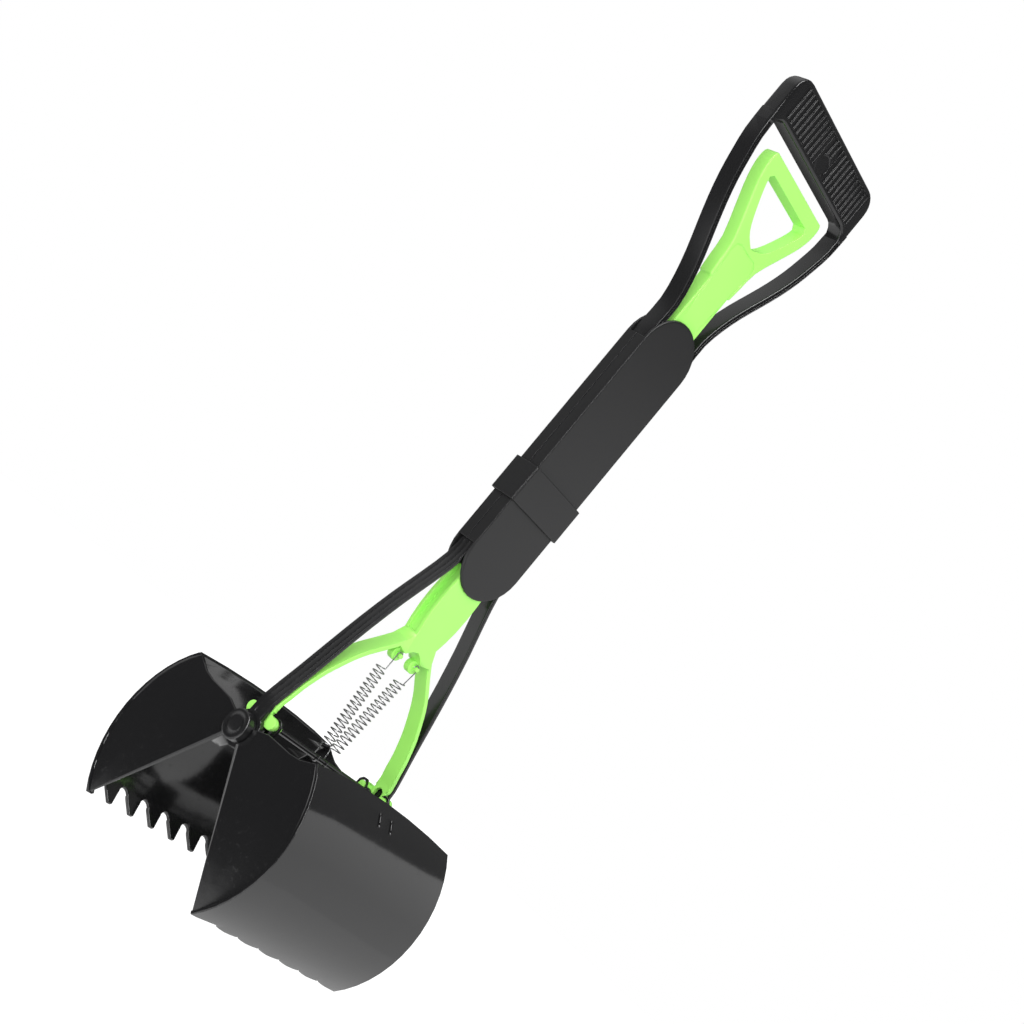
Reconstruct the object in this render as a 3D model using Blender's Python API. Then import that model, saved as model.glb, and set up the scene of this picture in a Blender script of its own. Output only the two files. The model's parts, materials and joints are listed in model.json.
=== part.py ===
"""A pooper scooper: two jaws on a long frame, opened by squeezing a trigger under a D-shaped grip.

Metres. +Z runs up the handle, X runs along the jaws' pivot axis, and the front jaw is on the -Y side.
The world origin is the middle of the grip that the scooper hangs from. The jaws stand open, as
when the trigger is squeezed. Shapes are built in the frame of the pivot axis, with heights above it,
and an empty carries that frame. Each jaw is modelled closed and then turned open about the pivot.
"""

import math

import bmesh
import bpy
from mathutils import Matrix, Vector

MM = 0.001
DEGREE = math.pi / 180

# Whole object
GRIP_ABOVE_PIVOT = 504 * MM
PLAY = 0.3 * MM  # gap between neighbours that touch on the real object
RUN = 0.4 * MM  # clearance of pieces that turn or slide in each other
OVERRUN = 3 * MM  # how far a cutter passes the wall that it cuts
LAP = 0.8 * MM  # how deep joined shapes reach into each other

# Sides of the round shapes
EYE_SIDES = 28
CAP_SIDES = 24
KNOB_SIDES = 18
PIN_SIDES = 20
DRIVE_PIN_SIDES = 16
ROD_SIDES = 14
SCREW_SIDES = 10

# Trigger stroke and jaw opening
STROKE = 15 * MM
OPEN_ANGLE = 35.35 * DEGREE

# Jaws
JAW_WIDTH = 140 * MM
JAW_WALL = 2.3 * MM
JAW_RADIUS = 73.7 * MM
JAW_ARC_OFFSET = 9 * MM  # how far the arc's centre lies past the closing plane
LIP_DROP = 111.7 * MM  # pivot to lip
CORNER_DROP = 25.7 * MM  # pivot to the wall's top corner, jaw closed
TOP_BOW = 5.5 * MM  # rise of the wall's top edge at mid width
SIDE_FLANGE = 0.7 * MM  # how far the wall stands out past the cheeks
LIP_GAP = 0.4 * MM  # each lip to the closing plane
CHEEK_TOP_SHARES = (
    (0.223, 0.128), (0.356, 0.241), (0.488, 0.455), (0.636, 0.708), (0.771, 0.879), (0.884, 0.949),
)  # the cheek's S-shaped top edge, as shares of the corner's reach and drop
CHEEK_START_ANGLE = 78 * DEGREE  # where the top edge leaves the cap's clearance hole
JAW_ARC_STEPS = 14
JAW_WIDTH_STEPS = 6

# Teeth of the rear jaw, scallops of the front jaw and the two short ribs on each wall
TOOTH_PITCH = 20.2 * MM
TOOTH_COUNT = 6
TOOTH_LENGTH = 14 * MM
TOOTH_TIP_WIDTH = 3.4 * MM
VALLEY_WIDTH = 8.4 * MM
SCALLOP_DEPTH = 2.6 * MM
SCALLOP_SHARES = ((0, 1), (0.05, 0.5), (0.25, 0.18), (0.5, 0), (0.75, 0.18), (0.95, 0.5))
TEETH_ZONE = 65.5 * MM  # half the width in which the lip is cut
RIB_SPACING = 12 * MM
RIB_LENGTH = 8 * MM
RIB_WIDTH = 1.6 * MM
RIB_HEIGHT = 0.8 * MM
RIB_BELOW_TOP = 4 * MM

# Pivots: cap, arm eye, fork foot, front ear, rear ear, clip and the spring bar's lug, from the cheek inwards
EYE_SETBACK = 2.5 * MM
EYE_THICKNESS = 3.6 * MM
EYE_RADIUS = 12.5 * MM
EAR_THICKNESS = 2 * MM
EAR_RADIUS = 6.8 * MM
EAR_SETBACK = 1.2 * MM  # from the foot, so that the fork's arm passes the ears' hubs
EAR_REACH = 26 * MM
EAR_STEPS = 40
PAD_START = 15 * MM
PAD_FROM_ANGLE = 8 * DEGREE
PAD_TO_ANGLE = 58 * DEGREE
CAP_RADIUS = 10 * MM
CAP_PROUD = 5.1 * MM  # cap face above the cheek
CAP_EDGE = 0.8 * MM
CAP_RING_RADIUS = 6 * MM
CAP_RING_WIDTH = 1.4 * MM
CAP_RING_DEPTH = 0.5 * MM
PIN_RADIUS = 3 * MM
PIN_IN_CAP = 5 * MM
GROOVE_DEPTH = 0.9 * MM
CLIP_RADIUS = 5.6 * MM
CLIP_THICKNESS = 1 * MM
PIN_NOSE = 0.8 * MM

# Drive pins of the fork and the slots that they work in
DRIVE_PIN_RADIUS = 3 * MM
DRIVE_PIN_REACH = 10.5 * MM  # from the middle plane
DRIVE_PIN_HEIGHT = 12.5 * MM  # above the pivot, jaws open
SLOT_WALL = 1.8 * MM
SLOT_STEPS = 6

# Lower arms
ARM_THICKNESS = 3.4 * MM
ARM_DEPTH = 12.4 * MM
ARM_GROOVE_WIDTH = 0.9 * MM
ARM_GROOVE_DEPTH = 0.5 * MM
ARM_GROOVE_SPACING = 4.2 * MM
ARM_CHAMFER = 0.8 * MM
ARM_STRAIGHT = 22 * MM  # height to which the arm stays upright beside the jaws
ARM_TOP = 214 * MM
ARM_SHARES = (
    (0.93, 0.190), (0.866, 0.275), (0.78, 0.400), (0.68, 0.540), (0.565, 0.680), (0.445, 0.805),
    (0.352, 0.915),
)  # centre line, as shares of the eye's x and of the height at which the arm enters the sleeve

# Sleeve covers and collar
SLEEVE_WIDTH = 52.8 * MM
SLEEVE_DEPTH = 17.6 * MM
SLEEVE_BOTTOM = 144 * MM
SLEEVE_TOP = 361 * MM
SLEEVE_SPLIT = 217.4 * MM
COVER_WALL = 2 * MM
COVER_EDGE = 1.2 * MM
COVER_END_STEPS = 16
COLLAR_BOTTOM = 205 * MM
COLLAR_HEIGHT = 24.8 * MM
COLLAR_WALL = 1.7 * MM
COLLAR_CORNER = 2.2 * MM
COLLAR_TRAVEL = 55 * MM

# Screws and bosses that hold the covers through the frame's tangs
TANG_INNER = 14.5 * MM
TANG_OUTER = 24.2 * MM
BOSS_RADIUS = 2.6 * MM
BOSS_BORE = 1.3 * MM
BOSS_END = 4.5 * MM  # behind the middle plane
SCREW_RADIUS = 1 * MM
SCREW_LENGTH = 10 * MM
SCREW_HEAD_RADIUS = 2.2 * MM
SCREW_HEAD = 1.1 * MM
SCREW_SLOT = 0.6 * MM
UPPER_SCREW_HEIGHTS = (242 * MM, 326 * MM)
LOWER_SCREW_HEIGHTS = (162 * MM, 198 * MM)

# D-handle
GRIP_WIDTH = 126.6 * MM
GRIP_TOP_ABOVE = 16 * MM  # above the grip's middle
GRIP_BOTTOM_BELOW = 15.5 * MM
GRIP_CORNER = 12 * MM
GRIP_FILLET = 8 * MM
HANDLE_DEPTH = 13 * MM
HANDLE_EDGE = 2 * MM
BAR_THICKNESS = 5.5 * MM
BAR_RIM = 1.3 * MM
BAR_CHANNEL = 1.5 * MM
BAR_CHAMFER = 0.7 * MM
BAR_SHARES = (
    (0.335, 0.02), (0.40, 0.15), (0.50, 0.275), (0.625, 0.40), (0.74, 0.52), (0.83, 0.635),
    (0.895, 0.75), (0.945, 0.865), (0.958, 1.0),
)  # centre line, as shares of half the grip's width and of the way from the sleeve to the grip
TANG_BOTTOM = 222 * MM
GRIP_RIB_PITCH = 4.8 * MM
GRIP_RIB_WIDTH = 0.9 * MM
GRIP_RIB_COUNT = 11  # pockets each side of the middle one
POCKET_DEPTH = 1.2 * MM
POCKET_MARGIN = 3.6 * MM
GRIP_BOSS_RADIUS = 7.6 * MM
GRIP_BOSS_ABOVE = 9.3 * MM  # the boss's middle above the grip's underside
GRIP_BOSS_RIM = 1 * MM
GRIP_BOSS_DEPTH = 0.6 * MM

# Trigger
TRIGGER_DEPTH = 11 * MM
TRIGGER_EDGE = 1.1 * MM
TRIGGER_HALF_WIDTH = 38.5 * MM
TRIGGER_TOP = 476.5 * MM
TRIGGER_BOTTOM = 340 * MM
TRIGGER_STEP = 394 * MM
STEM_HALF_WIDTH = 13 * MM
TRIGGER_SHARES = (
    (0.385, 0.01), (0.42, 0.14), (0.47, 0.31), (0.675, 0.51), (0.86, 0.68), (0.96, 0.80),
    (1.0, 0.90), (0.985, 0.975), (0.94, 1.0),
)  # outer edge above the step, as shares of the half width and of the height above the step
GAP_SHARES = (
    (0.0, 0.385), (0.22, 0.432), (0.38, 0.50), (0.57, 0.64), (0.72, 0.775), (0.76, 0.835), (0.69, 0.87),
)  # edge of the opening, as shares of the same sizes
PANEL_SHARES = (
    (0.0, 0.338), (0.235, 0.345), (0.345, 0.318), (0.375, 0.25), (0.32, 0.04), (0.29, -0.19),
    (0.245, -0.35),
)  # line round the stem's panel, as shares of the same sizes
PANEL_LINE_WIDTH = 1.1 * MM
PANEL_LINE_DEPTH = 0.5 * MM

# Slider rod between trigger and fork, and its pins
ROD_HALF_WIDTH = 12 * MM
ROD_DEPTH = 8 * MM
TONGUE_HALF_WIDTH = 6 * MM
TONGUE_DEPTH = 4.4 * MM
TONGUE_LENGTH = 27 * MM
ROD_PIN_RADIUS = 2 * MM
ROD_PIN_SETBACK = 12 * MM  # from the end of the piece that the tongue enters

# Fork
FORK_TOP = 166 * MM
FORK_DEPTH = 12.8 * MM
FORK_STRAP = 3 * MM
FORK_CROTCH = 98 * MM
FORK_STEM_SHARES = (
    (1.0, 1.0), (1.0, 0.82), (1.07, 0.66), (1.10, 0.52), (1.07, 0.36), (0.98, 0.23), (0.86, 0.12),
    (1.30, -0.045), (0.62, -0.075), (0.30, -0.02), (0.0, 0.0),
)  # outline of the stem, as shares of its half width and of its height above the crotch
FORK_STEM_HALF_WIDTH = 13.6 * MM
FORK_CHANNEL = 3 * MM
FORK_FLANGE = 2.6 * MM
FORK_ARM_SHARES = (
    (0.18, 1.05), (0.25, 0.99), (0.415, 0.885), (0.53, 0.815), (0.63, 0.74), (0.715, 0.66),
    (0.805, 0.567), (0.866, 0.484), (0.919, 0.40), (0.955, 0.316), (0.983, 0.265), (1.0, 0.214),
)  # centre line, as shares of the foot's x and of the crotch's height
FOOT_TOP = 22.5 * MM
FOOT_OVERLAP = 4 * MM  # how far the arm reaches down into the foot
FOOT_EYE_RADIUS = 4 * MM  # round each drive pin
FOOT_EYE_STEPS = 12
KNOB_RADIUS = 4.6 * MM
KNOB_DEPTH = 5 * MM
KNOB_X = 9.5 * MM
KNOB_HEIGHT = 89.7 * MM
PEG_RADIUS = 1.5 * MM
PEG_LENGTH = 4 * MM

# Spring bar and springs
SPRING_BAR_HEIGHT = 11 * MM
SPRING_BAR_RADIUS = 2 * MM
BAR_LUG_THICKNESS = 3 * MM
BAR_LUG_FOOT_RADIUS = 5 * MM  # round the pivot pin
BAR_LUG_HEAD_RADIUS = 3.2 * MM  # round the bar
BAR_LUG_STEPS = 12
WIRE_RADIUS = 0.4 * MM
COIL_RADIUS = 3.6 * MM
COIL_BOTTOM_X = 4.8 * MM
COIL_TOP_X = 10.6 * MM
COIL_BOTTOM = 20 * MM
HOOK_REACH = 7.1 * MM  # from the coil's top to the knob
COIL_TURNS = 17.5
CURL_POINTS = 6
HOOK_STEPS = 6
HOOK_TIP = 2 * MM

# Places worked out from the sizes above
CHEEK_OUTER = JAW_WIDTH / 2
EYE_OUTER = CHEEK_OUTER - EYE_SETBACK
EYE_INNER = EYE_OUTER - EYE_THICKNESS
FOOT_OUTER = EYE_INNER - RUN
FOOT_INNER = FOOT_OUTER - FORK_STRAP
EAR_OUTER = {-1: FOOT_INNER - EAR_SETBACK, 1: FOOT_INNER - EAR_SETBACK - EAR_THICKNESS - PLAY}
EAR_END = EAR_OUTER[1] - EAR_THICKNESS
CLIP_OUTER = EAR_END - PLAY
BAR_LUG_OUTER = CLIP_OUTER - CLIP_THICKNESS - 2 * PLAY
BAR_LUG_INNER = BAR_LUG_OUTER - BAR_LUG_THICKNESS
PIN_END = BAR_LUG_INNER - PIN_NOSE
COIL_TOP = KNOB_HEIGHT - KNOB_RADIUS - HOOK_REACH
ARC_DROP = LIP_DROP - math.sqrt(JAW_RADIUS**2 - JAW_ARC_OFFSET**2)
CORNER_REACH = math.sqrt(JAW_RADIUS**2 - (ARC_DROP - CORNER_DROP) ** 2) - JAW_ARC_OFFSET
CAP_HOLE = CAP_RADIUS + RUN
SLEEVE_RADIUS = SLEEVE_WIDTH / 2
SLEEVE_HALF_DEPTH = SLEEVE_DEPTH / 2
GRIP_HALF_WIDTH = GRIP_WIDTH / 2
GRIP_BOTTOM = GRIP_ABOVE_PIVOT - GRIP_BOTTOM_BELOW
GRIP_TOP = GRIP_ABOVE_PIVOT + GRIP_TOP_ABOVE
SCREW_X = (TANG_INNER + TANG_OUTER) / 2
SIDES = {-1: "left", 1: "right"}


def clear_scene():
    for old in list(bpy.data.objects):
        bpy.data.objects.remove(old)


def make_material(name, colour, roughness, metallic=0.0):
    material = bpy.data.materials.new(name)
    material.use_nodes = True
    shader = material.node_tree.nodes["Principled BSDF"]
    shader.inputs["Base Color"].default_value = (*colour, 1)
    shader.inputs["Roughness"].default_value = roughness
    shader.inputs["Metallic"].default_value = metallic
    return material


def smooth(points, steps):
    """Points of a curve that runs smoothly through the given ones."""
    ends = [points[0], *points, points[-1]]
    curve = []
    for before, start, end, after in zip(ends, ends[1:], ends[2:], ends[3:]):
        for step in range(steps):
            t = step / steps
            curve.append(tuple(
                (2 * b + (c - a) * t + (2 * a - 5 * b + 4 * c - d) * t**2
                 + (3 * b - a - 3 * c + d) * t**3) / 2
                for a, b, c, d in zip(before, start, end, after)
            ))
    curve.append(tuple(points[-1]))
    return curve


def arc(centre, radius, start, end, steps):
    """Points of an arc in a plane, angles counted from the first axis towards the second."""
    angles = [start + (end - start) * step / steps for step in range(steps + 1)]
    return [(centre[0] + radius * math.cos(a), centre[1] + radius * math.sin(a)) for a in angles]


def mirrored(outline):
    """The outline of one half, from the middle line round, followed by its mirror image."""
    return outline + [(-x, z) for x, z in reversed(outline) if x != 0]


def placed(point, axis, along):
    """A plane point set at a place along an axis: planes are YZ, XZ and XY for X, Y and Z."""
    first, second = point
    return {
        "X": Vector((along, first, second)),
        "Y": Vector((first, along, second)),
        "Z": Vector((first, second, along)),
    }[axis]


def clean(shape):
    bmesh.ops.remove_doubles(shape, verts=shape.verts, dist=MM / 1000)
    bmesh.ops.recalc_face_normals(shape, faces=shape.faces)
    return shape


def prism(outline, axis, low, high):
    """A flat outline extruded along an axis."""
    shape = bmesh.new()
    face = shape.faces.new([shape.verts.new(placed(point, axis, low)) for point in outline])
    grown = bmesh.ops.extrude_face_region(shape, geom=[face])["geom"]
    moved = [item for item in grown if isinstance(item, bmesh.types.BMVert)]
    bmesh.ops.translate(shape, verts=moved, vec=placed((0, 0), axis, high - low))
    return clean(shape)


def box(low, high):
    x_low, y_low, z_low = low
    x_high, y_high, z_high = high
    corners = [(x_low, y_low), (x_high, y_low), (x_high, y_high), (x_low, y_high)]
    return prism(corners, "Z", z_low, z_high)


def disc(centre, radius, axis, low, high, sides):
    return prism(arc(centre, radius, 0, math.tau, sides)[:-1], axis, low, high)


def turned(profile, centre, axis, sides):
    """A closed (radius, along) profile turned about an axis through a plane point."""
    shape = bmesh.new()
    direction = placed((0, 0), axis, 1)
    across = placed((1, 0), axis, 0)
    foot = placed(centre, axis, 0)
    verts = [shape.verts.new(foot + across * r + direction * along) for r, along in profile]
    edges = [shape.edges.new(pair) for pair in zip(verts, verts[1:])]
    if profile[0][0] > 0:
        edges.append(shape.edges.new((verts[-1], verts[0])))
    bmesh.ops.spin(
        shape, geom=verts + edges, cent=foot, axis=direction, angle=math.tau, steps=sides, use_merge=True
    )
    return clean(shape)


def strap(path, section):
    """A section of (outward, y) points swept along a path of (x, z) points."""
    shape = bmesh.new()
    rings = []
    for index, (x, z) in enumerate(path):
        before = Vector(path[max(index - 1, 0)])
        after = Vector(path[min(index + 1, len(path) - 1)])
        along = (after - before).normalized()
        rings.append([
            shape.verts.new((x + along.y * outward, y, z - along.x * outward)) for outward, y in section
        ])
    for lower, upper in zip(rings, rings[1:]):
        for index in range(len(section)):
            after = (index + 1) % len(section)
            shape.faces.new((lower[index], lower[after], upper[after], upper[index]))
    shape.faces.new(rings[0])
    shape.faces.new(rings[-1])
    return clean(shape)


def flipped(shape):
    """The mirror image on the other side of the middle plane x = 0."""
    bmesh.ops.scale(shape, vec=(-1, 1, 1), verts=shape.verts)
    return clean(shape)


def on_side(shape, side):
    return shape if side > 0 else flipped(shape)


def gathered(shapes):
    """Several shapes that don't touch, held as one."""
    whole = bmesh.new()
    for shape in shapes:
        piece = bpy.data.meshes.new("gathered")
        shape.to_mesh(piece)
        shape.free()
        whole.from_mesh(piece)
        bpy.data.meshes.remove(piece)
    return whole


def rounded(shape, width, segments, chosen):
    """Rounds the edges for which chosen(edge) is true."""
    edges = [edge for edge in shape.edges if chosen(edge)]
    bmesh.ops.bevel(
        shape, geom=edges, offset=width, segments=segments, affect="EDGES", profile=0.5, material=-1,
        clamp_overlap=True,
    )
    return clean(shape)


def rim_at(y, tolerance=MM / 100):
    """Chooses the edges that lie in the plane at y."""
    return lambda edge: all(abs(vert.co.y - y) < tolerance for vert in edge.verts)


def add_object(name, shape, frame):
    """An object of the shape, which the frame's empty carries."""
    mesh = bpy.data.meshes.new(name)
    shape.to_mesh(mesh)
    shape.free()
    obj = bpy.data.objects.new(name, mesh)
    bpy.context.scene.collection.objects.link(obj)
    obj.parent = frame
    return obj


def add_step(piece, operation, shape, frame):
    """One Boolean of a piece, with its hidden helper."""
    helper = add_object(f"{piece.name}_{operation.lower()}_{len(piece.modifiers)}", shape, frame)
    helper.hide_render = True
    helper.display_type = "WIRE"
    helper.hide_set(True)
    step = piece.modifiers.new(helper.name, "BOOLEAN")
    step.operation = operation
    step.solver = "EXACT"
    step.object = helper


def add_piece(name, shape, material, frame, joined=(), cuts=()):
    """A named piece: a base shape, the shapes joined to it, and then the shapes cut from it."""
    piece = add_object(name, shape, frame)
    piece.data.materials.append(material)
    for other in joined:
        add_step(piece, "UNION", other, frame)
    for other in cuts:
        add_step(piece, "DIFFERENCE", other, frame)
    piece.data.shade_smooth()
    piece.data.set_sharp_from_angle(angle=30 * DEGREE)
    return piece


def jaw_arc_point(angle, radius):
    """A (y, z) point of the closed rear jaw's wall, the angle counted from straight down."""
    return (
        radius * math.sin(angle) - JAW_ARC_OFFSET,
        -radius * math.cos(angle) - ARC_DROP,
    )


def jaw_angles():
    lip = math.asin((LIP_GAP + JAW_ARC_OFFSET) / JAW_RADIUS)
    corner = math.pi / 2 + math.asin((ARC_DROP - CORNER_DROP) / JAW_RADIUS)
    return lip, corner


def jaw_wall():
    """The curved wall: a sheet from lip to top edge, whose top edge bows up at mid width."""
    lip, corner = jaw_angles()
    half = CHEEK_OUTER + SIDE_FLANGE
    shape = bmesh.new()
    sheets = []
    for radius in (JAW_RADIUS, JAW_RADIUS - JAW_WALL):
        grid = []
        for row in range(JAW_ARC_STEPS + 1):
            line = []
            for column in range(JAW_WIDTH_STEPS + 1):
                x = half * (2 * column / JAW_WIDTH_STEPS - 1)
                top = corner + TOP_BOW / JAW_RADIUS * (1 - (x / half) ** 2)
                angle = lip + (top - lip) * row / JAW_ARC_STEPS
                line.append(shape.verts.new((x, *jaw_arc_point(angle, radius))))
            grid.append(line)
        sheets.append(grid)
        for lower, upper in zip(grid, grid[1:]):
            for a, b, c, d in zip(lower, lower[1:], upper[1:], upper):
                shape.faces.new((a, b, c, d))
    outer, inner = sheets
    borders = [
        (outer[0], inner[0]),
        (outer[-1], inner[-1]),
        ([line[0] for line in outer], [line[0] for line in inner]),
        ([line[-1] for line in outer], [line[-1] for line in inner]),
    ]
    for one, other in borders:
        for a, b, c, d in zip(one, one[1:], other[1:], other):
            shape.faces.new((a, b, c, d))
    return clean(shape)


def cheek(side):
    """A side wall: straight mouth edge, arc inside the curved wall, S-shaped top, hole for the cap."""
    lip, corner = jaw_angles()
    middle = JAW_RADIUS - JAW_WALL / 2
    steps = [lip + (corner - lip) * step / JAW_ARC_STEPS for step in range(JAW_ARC_STEPS + 1)]
    rim = [jaw_arc_point(angle, middle) for angle in steps]
    top = [(CORNER_REACH * along, -CORNER_DROP * down) for along, down in reversed(CHEEK_TOP_SHARES)]
    start = LIP_GAP / CAP_HOLE
    hole = [
        (CAP_HOLE * math.sin(angle), -CAP_HOLE * math.cos(angle))
        for angle in (CHEEK_START_ANGLE + (start - CHEEK_START_ANGLE) * step / 6 for step in range(7))
    ]
    outline = [(LIP_GAP, rim[0][1])] + rim[1:] + top + hole
    low, high = sorted((side * CHEEK_OUTER, side * (CHEEK_OUTER - JAW_WALL)))
    return prism(outline, "X", low, high)


def slot_path():
    """The drive pin's path as the closed rear jaw sees it, from jaws closed to jaws open."""
    path = []
    for step in range(SLOT_STEPS + 1):
        share = step / SLOT_STEPS
        turn = OPEN_ANGLE * share
        y = DRIVE_PIN_REACH
        z = DRIVE_PIN_HEIGHT - STROKE * (1 - share)
        path.append((
            y * math.cos(turn) + z * math.sin(turn),
            z * math.cos(turn) - y * math.sin(turn),
        ))
    return path


def band(path, half_width, cap_steps=6):
    """The outline of a path widened to each side, with round ends."""
    left = []
    right = []
    for index, (y, z) in enumerate(path):
        before = Vector(path[max(index - 1, 0)])
        after = Vector(path[min(index + 1, len(path) - 1)])
        along = (after - before).normalized()
        left.append((y - along.y * half_width, z + along.x * half_width))
        right.append((y + along.y * half_width, z - along.x * half_width))
    start = Vector(path[1]) - Vector(path[0])
    end = Vector(path[-1]) - Vector(path[-2])
    start_angle = math.atan2(start.y, start.x)
    end_angle = math.atan2(end.y, end.x)
    quarter = math.pi / 2
    nose = arc(path[-1], half_width, end_angle + quarter, end_angle - quarter, cap_steps)[1:-1]
    tail = arc(path[0], half_width, start_angle - quarter, start_angle - 3 * quarter, cap_steps)[1:-1]
    return left + nose + right[::-1] + tail


def ear_outline():
    """An ear plate round the pivot: at each angle the farthest of its hub, its pad and its slot's wall."""
    slot_wall = DRIVE_PIN_RADIUS + RUN + SLOT_WALL
    outline = []
    for step in range(EAR_STEPS):
        angle = math.tau * step / EAR_STEPS
        reach = EAR_REACH if PAD_FROM_ANGLE <= angle <= PAD_TO_ANGLE else EAR_RADIUS
        for y, z in slot_path():
            along = y * math.sin(angle) - z * math.cos(angle)
            across = y * math.cos(angle) + z * math.sin(angle)
            if along > 0 and abs(across) < slot_wall:
                reach = max(reach, along + math.sqrt(slot_wall**2 - across**2))
        outline.append((reach * math.sin(angle), -reach * math.cos(angle)))
    return outline


def ear(side, fore):
    """The inner plate of one cheek, which turns on the pivot pin and holds the slot of a drive pin."""
    outer = EAR_OUTER[fore]
    low, high = sorted((side * outer, side * (outer - EAR_THICKNESS)))
    return prism(ear_outline(), "X", low, high)


def pad(side, fore):
    """The block that joins an ear plate to its cheek, clear of the arm's eye."""
    inner = EAR_OUTER[fore] - EAR_THICKNESS / 2
    outer = CHEEK_OUTER - JAW_WALL / 2
    low, high = sorted((side * inner, side * outer))
    angles = [PAD_FROM_ANGLE + (PAD_TO_ANGLE - PAD_FROM_ANGLE) * step / 6 for step in range(7)]
    near = [(PAD_START * math.sin(a), -PAD_START * math.cos(a)) for a in angles]
    reach = EAR_REACH - LAP
    far = [(reach * math.sin(a), -reach * math.cos(a)) for a in reversed(angles)]
    return prism(near + far, "X", low, high)


def lip_cutter(outline):
    """A cutter square to the wall at the lip, from an outline of (x, height above the lip) points."""
    lip, _ = jaw_angles()
    y, z = jaw_arc_point(lip, JAW_RADIUS)
    shape = prism(outline, "Y", -JAW_WALL - OVERRUN, OVERRUN)
    turn = Matrix.Rotation(lip - math.pi / 2, 3, "X")
    bmesh.ops.rotate(shape, cent=(0, 0, 0), matrix=turn, verts=shape.verts)
    bmesh.ops.translate(shape, vec=(0, y, z), verts=shape.verts)
    return shape


def tooth_valleys():
    """Cuts between the rear jaw's teeth, each with a round top."""
    shapes = []
    round_top = VALLEY_WIDTH / 2
    tip_half = (TOOTH_PITCH - TOOTH_TIP_WIDTH) / 2
    flare = tip_half + (tip_half - round_top) * OVERRUN / (TOOTH_LENGTH - round_top)
    for index in range(TOOTH_COUNT + 1):
        middle = (index - TOOTH_COUNT / 2) * TOOTH_PITCH
        low = max(middle - flare, -TEETH_ZONE)
        high = min(middle + flare, TEETH_ZONE)
        crown = arc((middle, TOOTH_LENGTH - round_top), round_top, 0, math.pi, 8)
        crown = [(min(max(x, -TEETH_ZONE), TEETH_ZONE), height) for x, height in crown]
        shapes.append(lip_cutter([(low, -OVERRUN), (high, -OVERRUN)] + crown))
    return gathered(shapes)


def lip_scallops():
    """The cut that leaves the front jaw's lip in shallow scallops with a notch for each tooth tip."""
    starts = [(index - (TOOTH_COUNT - 1) / 2) * TOOTH_PITCH for index in range(TOOTH_COUNT)]
    edge = [(-TEETH_ZONE, 0)]
    for start in starts:
        for along, depth in SCALLOP_SHARES:
            edge.append((start + TOOTH_PITCH * along, SCALLOP_DEPTH * depth))
    edge = [point for point in edge if point[0] < TEETH_ZONE]
    outline = [(-TEETH_ZONE, -OVERRUN), (TEETH_ZONE, -OVERRUN), (TEETH_ZONE, 0)]
    return lip_cutter(outline + edge[::-1])


def wall_rib(x):
    """A short raised rib on the outside of the curved wall, just below its top edge."""
    _, corner = jaw_angles()
    low = corner - (RIB_BELOW_TOP + RIB_LENGTH) / JAW_RADIUS
    high = corner - RIB_BELOW_TOP / JAW_RADIUS
    angles = [low + (high - low) * step / 4 for step in range(5)]
    outer = [jaw_arc_point(angle, JAW_RADIUS + RIB_HEIGHT) for angle in angles]
    inner = [jaw_arc_point(angle, JAW_RADIUS - LAP) for angle in reversed(angles)]
    return prism(outer + inner, "X", x - RIB_WIDTH / 2, x + RIB_WIDTH / 2)


def add_jaw(name, fore, material, frame):
    """One jaw. fore is 1 for the rear jaw at +Y and -1 for the front jaw, its mirror image."""
    joined = [gathered([wall_rib(-RIB_SPACING / 2), wall_rib(RIB_SPACING / 2)])]
    slots = []
    for side in SIDES:
        joined.append(cheek(side))
        joined.append(pad(side, fore))
        joined.append(ear(side, fore))
        low, high = sorted((side * FOOT_OUTER, side * (EAR_END - OVERRUN)))
        slots.append(prism(band(slot_path(), DRIVE_PIN_RADIUS + RUN), "X", low, high))
        slots.append(disc((0, 0), PIN_RADIUS + RUN, "X", low, high, PIN_SIDES))
    cuts = [gathered(slots), tooth_valleys() if fore > 0 else lip_scallops()]
    shapes = [jaw_wall(), *joined, *cuts]
    if fore < 0:
        for shape in shapes:
            bmesh.ops.scale(shape, vec=(1, -1, 1), verts=shape.verts)
            clean(shape)
    base, *rest = shapes
    joined, cuts = rest[:len(joined)], rest[len(joined):]
    hinge = bpy.data.objects.new(f"{name}_hinge", None)
    bpy.context.scene.collection.objects.link(hinge)
    hinge.parent = frame
    hinge.rotation_euler = (fore * OPEN_ANGLE, 0, 0)
    return add_piece(name, base, material, hinge, joined, cuts)


def arm_section():
    """The lower arm's section: a flat strap with two long grooves in its outer face."""
    half = ARM_THICKNESS / 2
    deep = ARM_DEPTH / 2
    groove = ARM_GROOVE_WIDTH / 2
    points = [(-half, -deep + ARM_CHAMFER), (-half + ARM_CHAMFER, -deep)]
    points += [(half - ARM_CHAMFER, -deep), (half, -deep + ARM_CHAMFER)]
    for centre in (-ARM_GROOVE_SPACING / 2, ARM_GROOVE_SPACING / 2):
        points += [(half, centre - groove), (half - ARM_GROOVE_DEPTH, centre - groove / 2)]
        points += [(half - ARM_GROOVE_DEPTH, centre + groove / 2), (half, centre + groove)]
    points += [(half, deep - ARM_CHAMFER), (half - ARM_CHAMFER, deep)]
    points += [(-half + ARM_CHAMFER, deep), (-half, deep - ARM_CHAMFER)]
    return points


def screw_holes(heights, radius, low, high):
    """Round cutters along Y through the frame's tangs."""
    return gathered([
        disc((side * SCREW_X, height), radius, "Y", low, high, ROD_SIDES)
        for side in SIDES for height in heights
    ])


def side_holes(side, heights):
    deep = ARM_DEPTH / 2 + OVERRUN
    return gathered([
        disc((side * SCREW_X, height), BOSS_RADIUS + PLAY, "Y", -deep, deep, ROD_SIDES)
        for height in heights
    ])


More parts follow.
